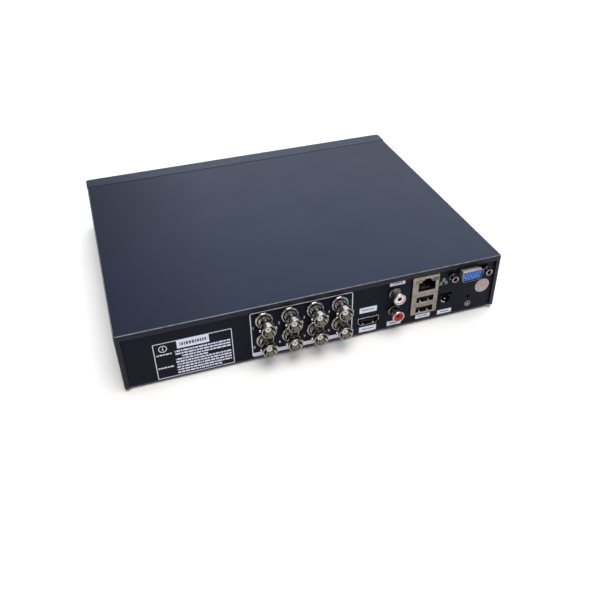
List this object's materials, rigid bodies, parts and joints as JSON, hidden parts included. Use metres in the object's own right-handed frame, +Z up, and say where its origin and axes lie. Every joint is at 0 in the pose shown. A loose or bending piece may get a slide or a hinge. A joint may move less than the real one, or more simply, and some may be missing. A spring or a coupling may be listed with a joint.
{
  "type": "dvr recorder",
  "caption": "Compact video recorder in a flat black steel case, with keys and a direction pad on the moulded front and BNC, audio, network, USB, HDMI and VGA sockets on the rear.",
  "frame": {"origin": "under the middle of the recorder, on the surface that it stands on", "axes": "+X to the right seen from the front (towards the keys), +Y towards the rear sockets, +Z up"},
  "size_m": [0.255, 0.2246, 0.044],
  "materials": {
    "cover_paint": "satin blue-black powder coat",
    "panel_paint": "satin near-black powder coat with white printing",
    "fascia_plastic": "fine spark-textured charcoal moulding",
    "key_plastic": "satin charcoal",
    "rubber": "matt black",
    "nickel": "bright nickel plate",
    "tin_plate": "satin tin plate",
    "aluminium": "satin",
    "socket_white": "satin white",
    "socket_red": "satin red",
    "socket_blue": "satin blue",
    "socket_black": "satin black",
    "laminate": "green solder mask",
    "cable_grey": "grey",
    "lamp_lens": "clear",
    "dark_lens": "dark red, polished"
  },
  "bodies": {
    "case": {"bnc_block": "socket_black", "bnc_insulator_1": "socket_white", "bnc_insulator_2": "socket_white", "bnc_insulator_3": "socket_white", "bnc_insulator_4": "socket_white", "bnc_insulator_5": "socket_white", "bnc_insulator_6": "socket_white", "bnc_insulator_7": "socket_white", "bnc_insulator_8": "socket_white", "bnc_shell_1": "nickel", "bnc_shell_2": "nickel", "bnc_shell_3": "nickel", "bnc_shell_4": "nickel", "bnc_shell_5": "nickel", "bnc_shell_6": "nickel", "bnc_shell_7": "nickel", "bnc_shell_8": "nickel", "chassis_tray": "panel_paint", "cover_screw_left": "nickel", "cover_screw_right": "nickel", "dc_jack_body": "socket_black", "dc_jack_pin": "nickel", "drive_cable": "cable_grey", "foot_1": "rubber", "foot_2": "rubber", "foot_3": "rubber", "foot_4": "rubber", "front_fascia": "fascia_plastic", "front_ribbon": "cable_grey", "hard_drive": "aluminium", "hdmi_shell": "tin_plate", "hdmi_tongue": "socket_black", "heat_sink": "aluminium", "ir_window": "dark_lens", "key_board": "laminate", "lan_insert": "socket_black", "lan_usb_shell": "tin_plate", "led_1": "lamp_lens", "led_2": "lamp_lens", "led_3": "lamp_lens", "main_board": "laminate", "rca_block": "socket_black", "rca_insert_bottom": "socket_red", "rca_insert_top": "socket_white", "rca_shell_bottom": "tin_plate", "rca_shell_top": "tin_plate", "top_cover": "cover_paint", "usb_insert": "socket_black", "vga_insulator": "socket_blue", "vga_riser_board": "laminate", "vga_shell": "tin_plate", "vga_standoff_1": "nickel", "vga_standoff_2": "nickel"},
    "menu_key": {"menu_button": "key_plastic"},
    "esc_key": {"esc_button": "key_plastic"},
    "ok_key": {"ok_button": "key_plastic"},
    "up_key": {"up_button": "key_plastic"},
    "down_key": {"down_button": "key_plastic"},
    "left_key": {"left_button": "key_plastic"},
    "right_key": {"right_button": "key_plastic"}
  },
  "joints": [
    {"name": "menu_press", "type": "slide", "parent": "case", "child": "menu_key", "axis": [0, 1, 0], "range_m": [0, 0.0008], "stiffness_N_per_m": 800},
    {"name": "esc_press", "type": "slide", "parent": "case", "child": "esc_key", "axis": [0, 1, 0], "range_m": [0, 0.0008], "stiffness_N_per_m": 800},
    {"name": "ok_press", "type": "slide", "parent": "case", "child": "ok_key", "axis": [0, 1, 0], "range_m": [0, 0.0008], "stiffness_N_per_m": 800},
    {"name": "up_press", "type": "slide", "parent": "case", "child": "up_key", "axis": [0, 1, 0], "range_m": [0, 0.0008], "stiffness_N_per_m": 800},
    {"name": "down_press", "type": "slide", "parent": "case", "child": "down_key", "axis": [0, 1, 0], "range_m": [0, 0.0008], "stiffness_N_per_m": 800},
    {"name": "left_press", "type": "slide", "parent": "case", "child": "left_key", "axis": [0, 1, 0], "range_m": [0, 0.0008], "stiffness_N_per_m": 800},
    {"name": "right_press", "type": "slide", "parent": "case", "child": "right_key", "axis": [0, 1, 0], "range_m": [0, 0.0008], "stiffness_N_per_m": 800}
  ]
}
